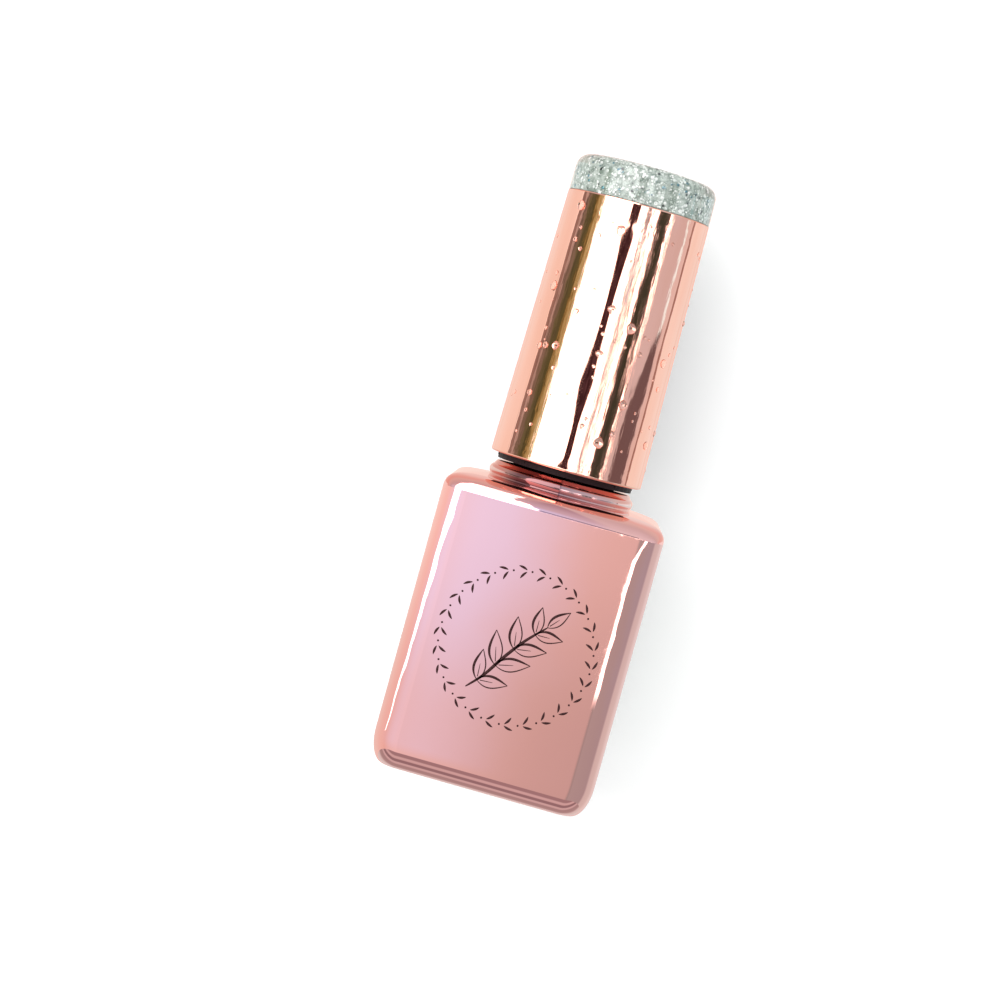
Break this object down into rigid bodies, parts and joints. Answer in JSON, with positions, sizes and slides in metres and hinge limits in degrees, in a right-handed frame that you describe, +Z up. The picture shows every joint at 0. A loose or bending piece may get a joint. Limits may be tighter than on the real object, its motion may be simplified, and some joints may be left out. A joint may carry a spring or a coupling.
{
  "type": "nail polish bottle",
  "caption": "Square metallised glass nail polish bottle with a rounded shoulder and a tall round screw cap; the cap carries the brush and ends in a glitter end cap that shows the colour.",
  "frame": {"origin": "centre of the foot, on the surface the bottle stands on", "axes": "+Z up the bottle and cap, along the screw axis; the label panel faces -Y"},
  "size_m": [0.03, 0.03, 0.0854],
  "materials": {
    "rose_metallised_glass": "gloss",
    "rose_gold_shell": "polished",
    "sage_glitter": "gloss",
    "black_plastic": "satin",
    "white_foam": "matte",
    "dark_nylon": "satin",
    "polished_steel": "polished",
    "white_paper": "matte",
    "glitter_gel": "gloss"
  },
  "bodies": {
    "bottle": {"bottle_glass": "rose_metallised_glass", "foot_label": "white_paper", "polish_gel": "glitter_gel", "mixing_ball_1": "polished_steel", "mixing_ball_2": "polished_steel"},
    "liner": {"sealing_liner": "white_foam"},
    "wand": {"brush_stem": "black_plastic", "bristle_anchor": "polished_steel", "brush_bristles": "dark_nylon"},
    "cap": {"inner_cap": "black_plastic", "cap_sleeve": "rose_gold_shell", "colour_end_cap": "sage_glitter"}
  },
  "joints": [
    {"name": "cap_lift", "type": "slide", "parent": "bottle", "child": "liner", "axis": [0, 0, 1], "range_m": [0, 0.058]},
    {"name": "thread_rise", "type": "slide", "parent": "liner", "child": "wand", "axis": [0, 0, 1], "range_m": [0, 0.00424]},
    {"name": "cap_turn", "type": "hinge", "parent": "wand", "child": "cap", "pos_m": [0, 0, 0], "axis": [0, 0, 1], "range_deg": [0, 720]}
  ],
  "couplings": [
    {"joint": "thread_rise", "follows": "cap_turn", "m_per_rad": 0.00033693}
  ]
}
